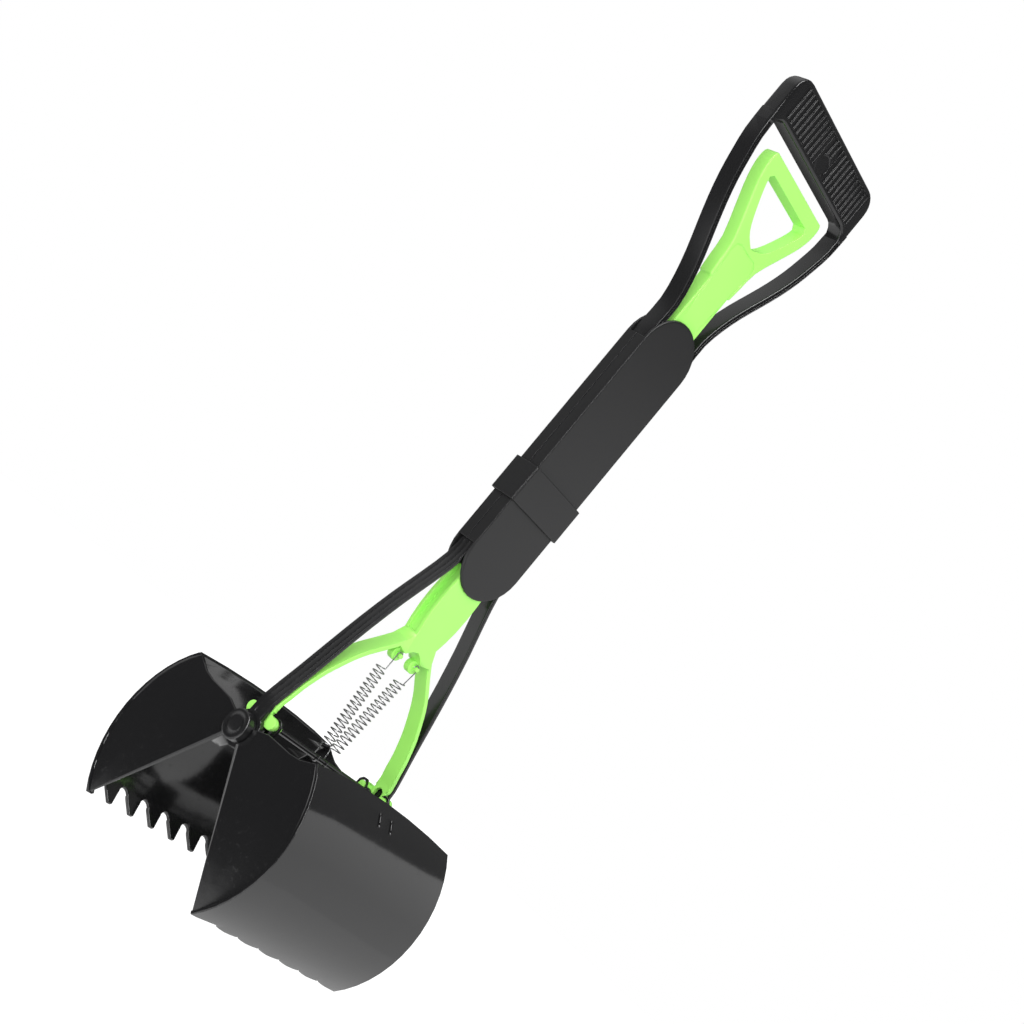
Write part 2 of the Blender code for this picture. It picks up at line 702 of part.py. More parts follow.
def add_arm(side, material, frame):
    """A lower arm: pivot eye, upright foot, curved strap and the tang inside the sleeve."""
    centre = (EYE_INNER + EYE_OUTER) / 2
    entry = SLEEVE_BOTTOM + SLEEVE_RADIUS
    curve = [(centre, 0), (centre, ARM_STRAIGHT)]
    curve += [(EYE_OUTER * across, entry * up) for across, up in ARM_SHARES]
    tang_middle = TANG_OUTER - ARM_THICKNESS / 2
    curve += [(tang_middle, entry), (tang_middle, ARM_TOP - LAP)]
    path = [curve[0]] + smooth(curve[1:-1], 2) + [curve[-1]]
    deep = ARM_DEPTH / 2
    eye = disc((0, 0), EYE_RADIUS, "X", EYE_INNER, EYE_OUTER, EYE_SIDES)
    tang = box((TANG_INNER, -deep + LAP, entry - TANG_INNER), (TANG_OUTER - LAP, deep - LAP, ARM_TOP))
    low = EYE_INNER - OVERRUN
    bore = disc((0, 0), PIN_RADIUS + RUN, "X", low, EYE_OUTER + OVERRUN, PIN_SIDES)
    add_piece(
        f"{SIDES[side]}_lower_arm",
        on_side(strap(path, arm_section()), side),
        material,
        frame,
        joined=[on_side(eye, side), on_side(tang, side)],
        cuts=[on_side(bore, side), side_holes(side, LOWER_SCREW_HEIGHTS)],
    )


def add_pivot(side, black, steel, frame):
    """The pivot pin, the cap on its outer end and the clip in its groove."""
    outer = CHEEK_OUTER + CAP_PROUD
    base = EYE_OUTER + PLAY
    bore_end = base + PIN_IN_CAP
    ring_in = CAP_RING_RADIUS - CAP_RING_WIDTH / 2
    ring_out = CAP_RING_RADIUS + CAP_RING_WIDTH / 2
    cap = turned(
        [
            (0, bore_end + PLAY), (PIN_RADIUS + PLAY, bore_end + PLAY), (PIN_RADIUS + PLAY, base),
            (CAP_RADIUS, base), (CAP_RADIUS, outer - CAP_EDGE), (CAP_RADIUS - CAP_EDGE, outer),
            (ring_out, outer), (ring_out, outer - CAP_RING_DEPTH), (ring_in, outer - CAP_RING_DEPTH),
            (ring_in, outer), (0, outer),
        ],
        (0, 0), "X", CAP_SIDES,
    )
    add_piece(f"{SIDES[side]}_pivot_cap", on_side(cap, side), black, frame)
    neck = PIN_RADIUS - GROOVE_DEPTH
    groove_in = CLIP_OUTER - CLIP_THICKNESS - PLAY
    pin = turned(
        [
            (0, bore_end), (PIN_RADIUS, bore_end), (PIN_RADIUS, CLIP_OUTER + PLAY / 2),
            (neck, CLIP_OUTER + PLAY / 2), (neck, groove_in), (PIN_RADIUS, groove_in),
            (PIN_RADIUS, PIN_END), (0, PIN_END),
        ],
        (0, 0), "X", PIN_SIDES,
    )
    add_piece(f"{SIDES[side]}_pivot_pin", on_side(pin, side), steel, frame)
    clip = turned(
        [
            (neck + PLAY, CLIP_OUTER), (CLIP_RADIUS, CLIP_OUTER), (CLIP_RADIUS, CLIP_OUTER - CLIP_THICKNESS),
            (neck + PLAY, CLIP_OUTER - CLIP_THICKNESS),
        ],
        (0, 0), "X", PIN_SIDES,
    )
    add_piece(f"{SIDES[side]}_pivot_clip", on_side(clip, side), steel, frame)


def cover_outline(end, split, direction):
    """The outline of a cover: square at the split, round at the sleeve's end."""
    centre = end - direction * SLEEVE_RADIUS
    round_end = arc((0, centre), SLEEVE_RADIUS, 0, direction * math.pi, COVER_END_STEPS)
    return [(SLEEVE_RADIUS, split)] + round_end + [(-SLEEVE_RADIUS, split)]


def cover_cavity(end, split, direction, fore):
    """What is cut from a cover's block: its inside, and its side walls beside the round end."""
    centre = end - direction * SLEEVE_RADIUS
    inner = SLEEVE_RADIUS - COVER_WALL
    outer = SLEEVE_RADIUS + OVERRUN
    near = split - direction * OVERRUN
    far = end + direction * OVERRUN
    outline = mirrored([(inner, near), (inner, centre), (outer, centre), (outer, far)])
    low, high = sorted((fore * (SLEEVE_HALF_DEPTH - COVER_WALL), -fore * OVERRUN))
    return prism(outline, "Y", low, high)


def add_cover(name, end, split, heights, fore, material, frame):
    """One sleeve cover. fore is -1 for a front cover, with bosses, and 1 for a rear one, with screw holes."""
    direction = 1 if end > split else -1
    face = fore * SLEEVE_HALF_DEPTH
    low, high = sorted((face, fore * PLAY / 2))
    block = prism(cover_outline(end, split, direction), "Y", low, high)
    rounded(block, COVER_EDGE, 2, lambda edge: rim_at(face)(edge) and not all(
        abs(vert.co.z - split) < PLAY for vert in edge.verts
    ))
    cavity = cover_cavity(end, split, direction, fore)
    floor = SLEEVE_HALF_DEPTH - COVER_WALL
    if fore < 0:
        piece = add_piece(name, block, material, frame, cuts=[cavity])
        bosses = screw_holes(heights, BOSS_RADIUS, -floor - LAP, BOSS_END)
        add_step(piece, "UNION", bosses, frame)
        bores = screw_holes(heights, BOSS_BORE, -floor, BOSS_END + OVERRUN)
        add_step(piece, "DIFFERENCE", bores, frame)
        return
    top = SLEEVE_HALF_DEPTH + OVERRUN
    through = screw_holes(heights, BOSS_BORE, floor - OVERRUN, top)
    sink_floor = SLEEVE_HALF_DEPTH - SCREW_HEAD - PLAY
    sinks = screw_holes(heights, SCREW_HEAD_RADIUS + PLAY, sink_floor, top)
    add_piece(name, block, material, frame, cuts=[cavity, sinks, through])


def add_cover_screws(half, heights, material, frame):
    """Four screws from the rear cover into the front cover's bosses."""
    head_top = SLEEVE_HALF_DEPTH - PLAY / 2
    head_base = head_top - SCREW_HEAD
    profile = [
        (0, head_top), (SCREW_HEAD_RADIUS, head_top), (SCREW_HEAD_RADIUS, head_base),
        (SCREW_RADIUS, head_base), (SCREW_RADIUS, head_top - SCREW_LENGTH), (0, head_top - SCREW_LENGTH),
    ]
    places = [(side * SCREW_X, height) for side in SIDES for height in heights]
    for number, (x, height) in enumerate(places, start=1):
        slot = box(
            (x - SCREW_HEAD_RADIUS - OVERRUN, head_top - SCREW_HEAD / 2, height - SCREW_SLOT / 2),
            (x + SCREW_HEAD_RADIUS + OVERRUN, head_top + OVERRUN, height + SCREW_SLOT / 2),
        )
        screw = turned(profile, (x, height), "Y", SCREW_SIDES)
        add_piece(f"{half}_cover_screw_{number}", screw, material, frame, cuts=[slot])


def rounded_rectangle(half_width, half_depth, corner):
    points = []
    quarter = math.pi / 2
    signs = ((1, 1), (-1, 1), (-1, -1), (1, -1))
    for turn, (right, back) in enumerate(signs):
        centre = (right * (half_width - corner), back * (half_depth - corner))
        points += arc(centre, corner, turn * quarter, (turn + 1) * quarter, 3)
    return points


def add_collar(material, frame):
    """The collar that slides on the sleeve and locks its two halves in line."""
    inner_width = SLEEVE_RADIUS + RUN
    inner_depth = SLEEVE_HALF_DEPTH + RUN
    outer = rounded_rectangle(inner_width + COLLAR_WALL, inner_depth + COLLAR_WALL, COLLAR_CORNER)
    inner = rounded_rectangle(inner_width, inner_depth, COLLAR_CORNER - COLLAR_WALL)
    top = COLLAR_BOTTOM + COLLAR_HEIGHT
    cutter = prism(inner, "Z", COLLAR_BOTTOM - OVERRUN, top + OVERRUN)
    add_piece("collar", prism(outer, "Z", COLLAR_BOTTOM, top), material, frame, cuts=[cutter])


def bar_section():
    """The handle bar's section, with a channel along its front and its rear face."""
    half = BAR_THICKNESS / 2
    deep = HANDLE_DEPTH / 2
    floor = deep - BAR_CHANNEL
    inner = half - BAR_RIM
    front = [
        (-half, -deep + BAR_CHAMFER), (-half + BAR_CHAMFER, -deep), (-inner, -deep), (-inner, -floor),
        (inner, -floor), (inner, -deep), (half - BAR_CHAMFER, -deep), (half, -deep + BAR_CHAMFER),
    ]
    return front + [(x, -y) for x, y in reversed(front)]


def grip_cuts(fore):
    """Pockets across one face of the grip, which leave upright ribs, and the dish of the round boss."""
    deep = HANDLE_DEPTH / 2
    face = fore * (deep + OVERRUN)
    low, high = sorted((fore * (deep - POCKET_DEPTH), face))
    top = GRIP_TOP - POCKET_MARGIN
    boss = GRIP_BOTTOM + GRIP_BOSS_ABOVE
    shapes = []
    for index in range(-GRIP_RIB_COUNT, GRIP_RIB_COUNT + 1):
        middle = index * GRIP_RIB_PITCH
        half = (GRIP_RIB_PITCH - GRIP_RIB_WIDTH) / 2
        edge = [(middle + half * step, GRIP_BOTTOM + POCKET_MARGIN) for step in (-1, 0, 1)]
        if abs(middle) < GRIP_BOSS_RADIUS:
            edge = [(x, boss + math.sqrt(GRIP_BOSS_RADIUS**2 - x**2)) for x, _ in edge]
        shapes.append(prism(edge + [(middle + half, top), (middle - half, top)], "Y", low, high))
    dish_low, dish_high = sorted((fore * (deep - GRIP_BOSS_DEPTH), face))
    radius = GRIP_BOSS_RADIUS - GRIP_BOSS_RIM
    shapes.append(disc((0, boss), radius, "Y", dish_low, dish_high, CAP_SIDES))
    return gathered(shapes)


def add_handle(material, frame):
    """The D-handle: two bars, their tangs inside the sleeve, and the ribbed grip between them."""
    deep = HANDLE_DEPTH / 2
    tang_deep = ARM_DEPTH / 2 - LAP
    rise = GRIP_BOTTOM - SLEEVE_TOP
    tang_middle = TANG_OUTER - BAR_THICKNESS / 2
    shoulder = SLEEVE_TOP - SLEEVE_RADIUS
    curve = [(tang_middle, shoulder), (tang_middle, SLEEVE_TOP - TANG_INNER)]
    curve += [(GRIP_HALF_WIDTH * across, SLEEVE_TOP + rise * up) for across, up in BAR_SHARES]
    bars = [on_side(strap(smooth(curve, 2), bar_section()), side) for side in SIDES]
    tang_low = (TANG_INNER, -tang_deep, TANG_BOTTOM)
    tang_high = (TANG_OUTER, tang_deep, SLEEVE_TOP - TANG_INNER)
    tangs = [on_side(box(tang_low, tang_high), side) for side in SIDES]
    inner_x = GRIP_HALF_WIDTH - BAR_THICKNESS
    corner = (GRIP_HALF_WIDTH - GRIP_CORNER, GRIP_TOP - GRIP_CORNER)
    fillet = (inner_x - GRIP_FILLET, GRIP_BOTTOM - GRIP_FILLET)
    half_outline = arc(corner, GRIP_CORNER, math.pi / 2, 0, 6)
    half_outline += [(GRIP_HALF_WIDTH, fillet[1]), (inner_x, fillet[1])]
    half_outline += arc(fillet, GRIP_FILLET, 0, math.pi / 2, 4)[1:]
    grip = prism(mirrored(half_outline), "Y", -deep, deep)
    rounded(grip, HANDLE_EDGE, 2, lambda edge: rim_at(deep)(edge) or rim_at(-deep)(edge))
    holes = screw_holes(UPPER_SCREW_HEIGHTS, BOSS_RADIUS + PLAY, -deep - OVERRUN, deep + OVERRUN)
    add_piece(
        "handle_frame",
        grip,
        material,
        frame,
        joined=[*bars, *tangs],
        cuts=[grip_cuts(-1), grip_cuts(1), holes],
    )


def tongue_pocket(low, high):
    """The pocket in the trigger or the fork that takes one end of the slider rod."""
    half = TONGUE_HALF_WIDTH + RUN
    deep = TONGUE_DEPTH / 2 + RUN
    return box((-half, -deep, low), (half, deep, high))


def rod_pin_hole(height):
    deep = FORK_DEPTH / 2 + OVERRUN
    return disc((0, height), ROD_PIN_RADIUS + PLAY, "Y", -deep, deep, ROD_SIDES)


def add_trigger(material, frame):
    """The trigger: a stem that widens above a step into a Y, closed by the bar that is pulled."""
    rise = TRIGGER_TOP - TRIGGER_STEP
    edge = [(TRIGGER_HALF_WIDTH * across, TRIGGER_STEP + rise * up) for across, up in TRIGGER_SHARES]
    right = [(STEM_HALF_WIDTH, TRIGGER_BOTTOM), (STEM_HALF_WIDTH, TRIGGER_STEP)]
    right += [edge[0]] + smooth(edge[1:], 2)
    outline = right + [(-x, z) for x, z in reversed(right)]
    gap = [(TRIGGER_HALF_WIDTH * across, TRIGGER_STEP + rise * up) for across, up in GAP_SHARES]
    half_gap = smooth(gap[:-1], 2) + [gap[-1]]
    half_panel = [(TRIGGER_HALF_WIDTH * across, TRIGGER_STEP + rise * up) for across, up in PANEL_SHARES]
    line = band([(-x, z) for x, z in half_panel[:0:-1]] + half_panel, PANEL_LINE_WIDTH / 2, 2)
    deep = TRIGGER_DEPTH / 2
    body = prism(outline, "Y", -deep, deep)
    rounded(body, TRIGGER_EDGE, 2, lambda edge: rim_at(deep)(edge) or rim_at(-deep)(edge))
    floor = deep - PANEL_LINE_DEPTH
    lines = gathered([
        prism(line, "Y", -deep - OVERRUN, -floor),
        prism(line, "Y", floor, deep + OVERRUN),
    ])
    add_piece(
        "trigger",
        body,
        material,
        frame,
        cuts=[
            prism(mirrored(half_gap), "Y", -deep - OVERRUN, deep + OVERRUN),
            tongue_pocket(TRIGGER_BOTTOM - OVERRUN, TRIGGER_BOTTOM + TONGUE_LENGTH + RUN),
            rod_pin_hole(TRIGGER_BOTTOM + ROD_PIN_SETBACK),
            lines,
        ],
    )


def add_rod(green, steel, frame):
    """The slider rod inside the sleeve, and the two pins that join it to trigger and fork."""
    deep = ROD_DEPTH / 2
    low = FORK_TOP + PLAY
    high = TRIGGER_BOTTOM - PLAY
    body = box((-ROD_HALF_WIDTH, -deep, low), (ROD_HALF_WIDTH, deep, high))
    tongue = box(
        (-TONGUE_HALF_WIDTH, -TONGUE_DEPTH / 2, low - TONGUE_LENGTH),
        (TONGUE_HALF_WIDTH, TONGUE_DEPTH / 2, high + TONGUE_LENGTH),
    )
    heights = (TRIGGER_BOTTOM + ROD_PIN_SETBACK, FORK_TOP - ROD_PIN_SETBACK)
    holes = gathered([rod_pin_hole(height) for height in heights])
    add_piece("slider_rod", body, green, frame, joined=[tongue], cuts=[holes])
    reach = TRIGGER_DEPTH / 2 - PLAY
    for name, height in zip(("trigger_pin", "fork_pin"), heights):
        pin = disc((0, height), ROD_PIN_RADIUS, "Y", -reach, reach, ROD_SIDES)
        add_piece(name, pin, steel, frame)


def fork_foot():
    """The right foot: below the arm's end, a bar with a round eye at each drive pin."""
    eye = arc(
        (DRIVE_PIN_REACH, DRIVE_PIN_HEIGHT), FOOT_EYE_RADIUS, -math.pi / 2, math.pi / 2, FOOT_EYE_STEPS
    )
    neck = FORK_DEPTH / 2 - LAP
    half = eye + [(neck, DRIVE_PIN_HEIGHT + FOOT_EYE_RADIUS), (neck, FOOT_TOP)]
    outline = half + [(-y, z) for y, z in half[::-1]]
    return prism(outline, "X", FOOT_INNER, FOOT_OUTER)


def fork_slot():
    """The right foot's slot, which lets it pass the pivot pin as the jaws close."""
    wide = PIN_RADIUS + RUN
    crown = arc((0, STROKE), wide, 0, math.pi, FOOT_EYE_STEPS)
    outline = [(wide, -OVERRUN), *crown, (-wide, -OVERRUN)]
    return prism(outline, "X", FOOT_INNER - 2 * OVERRUN, FOOT_OUTER + OVERRUN)


def add_fork(material, frame):
    """The fork: stem, two curved arms, feet with drive pins, and the knobs that carry the springs."""
    rise = FORK_TOP - FORK_CROTCH
    half_stem = [
        (FORK_STEM_HALF_WIDTH * across, FORK_CROTCH + rise * up) for across, up in FORK_STEM_SHARES
    ]
    deep = FORK_DEPTH / 2
    stem = prism(mirrored(half_stem[::-1]), "Y", -deep, deep)
    centre = FOOT_OUTER - FORK_STRAP / 2
    curve = [(centre * across, FORK_CROTCH * up) for across, up in FORK_ARM_SHARES]
    path = smooth(curve, 2) + [(centre, FOOT_TOP - FOOT_OVERLAP)]
    half = FORK_STRAP / 2 - PLAY / 3
    inset = deep - PLAY / 3
    section = [(-half, -inset), (half, -inset), (half, inset), (-half, inset)]
    web = deep - FORK_FLANGE
    face = KNOB_DEPTH / 2
    joined = []
    pins = []
    channels = []
    for side in SIDES:
        joined.append(on_side(strap(path, section), side))
        joined.append(on_side(fork_foot(), side))
        low, high = sorted((side * (FOOT_INNER + LAP), side * (EAR_END + PLAY / 3)))
        for fore in (-1, 1):
            pin = (fore * DRIVE_PIN_REACH, DRIVE_PIN_HEIGHT)
            pins.append(disc(pin, DRIVE_PIN_RADIUS, "X", low, high, DRIVE_PIN_SIDES))
        knob = (side * KNOB_X, KNOB_HEIGHT)
        joined.append(disc(knob, KNOB_RADIUS, "Y", -face, face, KNOB_SIDES))
        low, high = sorted((side * (KNOB_X - KNOB_RADIUS / 2), side * (KNOB_X + KNOB_RADIUS / 2)))
        joined.append(box((low, -KNOB_DEPTH / 3, KNOB_HEIGHT), (high, KNOB_DEPTH / 3, FORK_CROTCH)))
        joined.append(disc(knob, PEG_RADIUS, "Y", -face - PEG_LENGTH, -KNOB_DEPTH / 3, SCREW_SIDES))
        inner = FORK_STEM_HALF_WIDTH - FORK_CHANNEL
        outer = FORK_STEM_HALF_WIDTH + OVERRUN
        low, high = sorted((side * inner, side * outer))
        bottom = FORK_CROTCH + KNOB_RADIUS * 2
        channels.append(box((low, -web, bottom), (high, web, FORK_TOP - 2 * LAP)))
    add_piece(
        "fork",
        stem,
        material,
        frame,
        joined=[*joined, gathered(pins)],
        cuts=[
            tongue_pocket(FORK_TOP - TONGUE_LENGTH - RUN, FORK_TOP + OVERRUN),
            rod_pin_hole(FORK_TOP - ROD_PIN_SETBACK),
            gathered(channels),
            gathered([on_side(fork_slot(), side) for side in SIDES]),
        ],
    )


def add_spring_bar(material, frame):
    """The cross bar that the springs hook under, with a lug on each pivot pin's inner end."""
    reach = BAR_LUG_OUTER - LAP
    bar = disc((0, SPRING_BAR_HEIGHT), SPRING_BAR_RADIUS, "X", -reach, reach, ROD_SIDES)
    outline = arc((0, 0), BAR_LUG_FOOT_RADIUS, -math.pi, 0, BAR_LUG_STEPS)
    outline += arc((0, SPRING_BAR_HEIGHT), BAR_LUG_HEAD_RADIUS, 0, math.pi, BAR_LUG_STEPS)
    lugs = []
    bores = []
    for side in SIDES:
        lugs.append(on_side(prism(outline, "X", BAR_LUG_INNER, BAR_LUG_OUTER), side))
        low, high = sorted((side * (BAR_LUG_INNER - OVERRUN), side * (BAR_LUG_OUTER + OVERRUN)))
        bores.append(disc((0, 0), PIN_RADIUS + PLAY, "X", low, high, PIN_SIDES))
    add_piece("spring_bar", bar, material, frame, joined=[gathered(lugs)], cuts=[gathered(bores)])


def spring_path(side):
    """The wire of one spring: a hook under the spring bar, the coil, and a hook over the fork's peg."""
    lower = SPRING_BAR_RADIUS + WIRE_RADIUS + PLAY
    bar = (0, SPRING_BAR_HEIGHT)
    points = [(COIL_BOTTOM_X, -lower, SPRING_BAR_HEIGHT + HOOK_TIP)]
    for y, z in arc(bar, lower, math.pi, math.tau, HOOK_STEPS):
        points.append((COIL_BOTTOM_X, y, z))
    points.append((COIL_BOTTOM_X, lower, (SPRING_BAR_HEIGHT + COIL_BOTTOM) / 2))
    count = round(COIL_TURNS * CURL_POINTS)
    for index in range(count + 1):
        share = index / count
        angle = math.pi / 2 - math.tau * COIL_TURNS * share
        x = COIL_BOTTOM_X + (COIL_TOP_X - COIL_BOTTOM_X) * share
        z = COIL_BOTTOM + (COIL_TOP - COIL_BOTTOM) * share
        points.append((x + COIL_RADIUS * math.cos(angle), COIL_RADIUS * math.sin(angle), z))
    upper = PEG_RADIUS + WIRE_RADIUS + PLAY
    hook_y = -KNOB_DEPTH / 2 - PEG_LENGTH / 2
    for x, z in arc((KNOB_X, KNOB_HEIGHT), upper, -math.pi / 6, math.pi, HOOK_STEPS):
        points.append((x, hook_y, z))
    return [(side * x, y, z) for x, y, z in points]


def least_gap(points, radius):
    """The least clear distance between two stretches of one wire that aren't neighbours."""
    apart = CURL_POINTS // 2
    least = min(
        math.dist(one, other)
        for index, one in enumerate(points)
        for other in points[index + apart:]
    )
    return least - 2 * radius


def add_spring(side, material, frame):
    name = f"{SIDES[side]}_spring"
    points = spring_path(side)
    wire = bpy.data.curves.new(name, "CURVE")
    wire.dimensions = "3D"
    wire.bevel_depth = WIRE_RADIUS
    wire.bevel_resolution = 1
    wire.use_fill_caps = True
    spline = wire.splines.new("POLY")
    spline.points.add(len(points) - 1)
    for target, point in zip(spline.points, points):
        target.co = (*point, 1)
    wire.materials.append(material)
    spring = bpy.data.objects.new(name, wire)
    bpy.context.scene.collection.objects.link(spring)
    spring.parent = frame
    print(f"{name}: least gap of the wire to itself {least_gap(points, WIRE_RADIUS) / MM:.2f} mm")


def main():
    clear_scene()
    frame = bpy.data.objects.new("pivot_frame", None)
    frame.location = (0, 0, -GRIP_ABOVE_PIVOT)
    bpy.context.scene.collection.objects.link(frame)
    gloss_black = make_material("gloss_black", (0.012, 0.012, 0.013), 0.18)
    satin_black = make_material("satin_black", (0.02, 0.02, 0.021), 0.42)
    green = make_material("lime_green", (0.22, 0.78, 0.06), 0.35)
    steel = make_material("spring_steel", (0.72, 0.72, 0.74), 0.22, 1.0)

    add_handle(satin_black, frame)
    for side in SIDES:
        add_arm(side, satin_black, frame)
        add_pivot(side, satin_black, steel, frame)
        add_spring(side, steel, frame)
    add_spring_bar(satin_black, frame)
    covers = (
        ("upper", SLEEVE_TOP, SLEEVE_SPLIT + PLAY / 2, UPPER_SCREW_HEIGHTS),
        ("lower", SLEEVE_BOTTOM, SLEEVE_SPLIT - PLAY / 2, LOWER_SCREW_HEIGHTS),
    )
    for half, end, split, heights in covers:
        add_cover(f"{half}_front_cover", end, split, heights, -1, satin_black, frame)
        add_cover(f"{half}_rear_cover", end, split, heights, 1, satin_black, frame)
        add_cover_screws(half, heights, steel, frame)
    add_collar(satin_black, frame)
    add_trigger(green, frame)
    add_rod(green, steel, frame)
    add_fork(green, frame)
    add_jaw("rear_jaw", 1, gloss_black, frame)
    add_jaw("front_jaw", -1, gloss_black, frame)


main()
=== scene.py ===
"""Looks of the pooper scooper: finishes, rounded edges, springs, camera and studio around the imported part.

Metres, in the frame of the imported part: +Z up the handle, X along the jaws' pivots, the front jaw at -Y.
"""

import json
import math

import bmesh
import bpy
from mathutils import Matrix, Vector

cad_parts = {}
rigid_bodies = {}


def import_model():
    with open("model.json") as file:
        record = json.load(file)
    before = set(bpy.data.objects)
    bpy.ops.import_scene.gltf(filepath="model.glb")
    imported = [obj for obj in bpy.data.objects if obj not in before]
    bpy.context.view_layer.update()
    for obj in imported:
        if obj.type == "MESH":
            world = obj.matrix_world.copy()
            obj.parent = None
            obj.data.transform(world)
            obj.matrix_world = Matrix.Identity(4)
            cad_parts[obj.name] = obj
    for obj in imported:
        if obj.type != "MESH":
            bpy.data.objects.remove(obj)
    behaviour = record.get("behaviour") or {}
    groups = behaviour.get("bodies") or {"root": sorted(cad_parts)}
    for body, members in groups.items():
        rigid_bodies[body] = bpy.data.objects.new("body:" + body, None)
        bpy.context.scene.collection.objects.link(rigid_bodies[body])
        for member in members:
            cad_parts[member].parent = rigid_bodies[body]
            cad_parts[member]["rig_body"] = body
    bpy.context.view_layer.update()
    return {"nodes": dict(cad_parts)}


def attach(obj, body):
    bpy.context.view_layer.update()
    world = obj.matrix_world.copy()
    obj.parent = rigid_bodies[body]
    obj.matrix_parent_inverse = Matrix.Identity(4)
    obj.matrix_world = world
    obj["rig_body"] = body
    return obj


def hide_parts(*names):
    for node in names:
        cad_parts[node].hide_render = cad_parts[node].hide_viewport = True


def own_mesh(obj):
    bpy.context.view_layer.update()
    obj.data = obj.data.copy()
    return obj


MM = 0.001
PIVOT_Z = -504 * MM
UP = (0, 0, 1)

# Camera, fitted to the straight edges of the photographed scooper
PHOTO_PIXELS = 1024
FOCAL_PIXELS = 1730.7
SENSOR = 36
CLIP_START = 10 * MM
CAMERA_PLACE = (-0.77849, -0.72361, -0.41874)
CAMERA_RIGHT = (0.47643, -0.60795, 0.63515)
CAMERA_UP = (-0.49893, 0.40787, 0.76466)

# Floor, white to the camera
FLOOR_Z = -900 * MM
FLOOR_SIZE = 12
FLOOR_GREYS = (0.86, 0.89)
FLOOR_CAMERA_LEVEL = 1.33
FLOOR_SHADOW_SHARE = 0.3
STAGE_CENTRE = (0, 0, -0.45)

# Light that matt surfaces receive, strongest from the front left
EVEN_LEVEL = 0.56
EVEN_LOBE = 2.3
EVEN_DIRECTION = (-0.76, -0.60, 0.12)

# Darkness that glossy surfaces mirror where none of the lights below stands
GLOSS_DARK = 0.05

# Upright panel at the right, on the floor
PANEL_DIRECTION = (0.72, -0.69, 0)
PANEL_DISTANCE = 1.0
PANEL_WIDTH = 1.7
PANEL_TOP = 0.04
PANEL_BOTTOM = -0.899
PANEL_FOOT = 0.005
PANEL_LEVEL = 1.02

# Floor in the gloss, lit as far as the panel and fading out further off at the other sides
LIT_FLOOR_EDGE = (1.95, 1.50)
LIT_FLOOR_LEVEL = 1.12

# Tall strip on the camera's side, wider and stronger above
STRIP_SIDE = (0.685, -0.728, 0)
STRIP_FRONT = (-0.728, -0.685, 0)
STRIP_END = (0.12, 0.22)
STRIP_SOFT = 0.8
STRIP_HALF_WIDTH = 0.05
STRIP_LEVEL = 4.5
STRIP_TOP_RISE = (0.16, 0.26)
STRIP_TOP_HALF_WIDTH = 0.16
STRIP_TOP_LEVEL = 10

# Glows behind the scooper and far at the right: direction, start and full share, level
BACK_GLOW = ((-0.24, 0.66, 0.71), (0.70, 0.97), 0.65)
FAR_GLOW = ((0.76, -0.30, 0.58), (0.80, 0.97), 0.16)

# Colours of the plastics and greys of the steels, the darkest and the lightest of each
BLACK_SHADES = ((0.0065, 0.0065, 0.007), (0.0105, 0.0105, 0.011))
SLEEVE_SHADES = ((0.009, 0.009, 0.0095), (0.0135, 0.0135, 0.014))
GREEN_SHADES = ((0.345, 0.86, 0.135), (0.395, 0.92, 0.17))
SPRING_GREYS = (0.22, 0.36)
ZINC_GREYS = (0.60, 0.78)
STEEL_BLUE = 1.02

# Roughness of each finish, the least and the most, and what dull spots and scuffs add to it
JAW_ROUGHNESS = (0.07, 0.13)
FRAME_ROUGHNESS = (0.20, 0.30)
SLEEVE_ROUGHNESS = (0.36, 0.46)
GREEN_ROUGHNESS = (0.30, 0.40)
SPRING_ROUGHNESS = (0.30, 0.42)
ZINC_ROUGHNESS = (0.28, 0.42)
SPOT_ROUGHNESS = 0.12
SCUFF_ROUGHNESS = 0.08

# Rounded edges
EDGE_RADIUS = 0.35 * MM
EDGE_RADII = {
    "front_jaw": 0.55 * MM, "rear_jaw": 0.55 * MM, "handle_frame": 0.45 * MM,
    "left_lower_arm": 0.5 * MM, "right_lower_arm": 0.5 * MM,
}
EDGE_SEGMENTS = 2
EDGE_ROOM = 2.2
SHARP_ANGLE = math.radians(35)
MERGE = 0.002 * MM

# Springs, as in the part
SPRING_BAR_HEIGHT = 11 * MM
BAR_HOOK_RADIUS = 2.7 * MM
WIRE_RADIUS = 0.4 * MM
WIRE_RESOLUTION = 3
COIL_RADIUS = 3.6 * MM
COIL_BOTTOM_X = 4.8 * MM
COIL_TOP_X = 10.6 * MM
COIL_BOTTOM = 20 * MM
COIL_TOP = 78 * MM
COIL_TURNS = 17.5
CURL_POINTS = 28
KNOB_X = 9.5 * MM
KNOB_HEIGHT = 89.7 * MM
PEG_HOOK_RADIUS = 2.2 * MM
PEG_HOOK_Y = -4.5 * MM
PEG_HOOK_START = math.radians(-30)
PEG_HOOK_TURN = math.radians(210)
HOOK_STEPS = 14
HOOK_TIP = 2 * MM
SIDES = {-1: "left", 1: "right"}

# Sockets of the colour Mix node, which share their names with those of its other kinds
MIX_FACTOR = 0
MIX_FIRST = 6
MIX_SECOND = 7
MIX_RESULT = 2


class Value:
    """An output socket. Operators on it add Math nodes to its tree."""

    def __init__(self, tree, socket):
        self.tree = tree
        self.socket = socket

    def _math(self, operation, first, second):
        return self.tree.add("ShaderNodeMath", {"operation": operation}, {0: first, 1: second})

    def __add__(self, other):
        return self._math("ADD", self, other)

    def __rsub__(self, other):
        return self._math("SUBTRACT", other, self)

    def __mul__(self, other):
        return self._math("MULTIPLY", self, other)

    def __abs__(self):
        return self.tree.add("ShaderNodeMath", {"operation": "ABSOLUTE"}, {0: self})

    def at_least(self, least):
        return self._math("MAXIMUM", self, least)

    __radd__ = __add__
    __rmul__ = __mul__


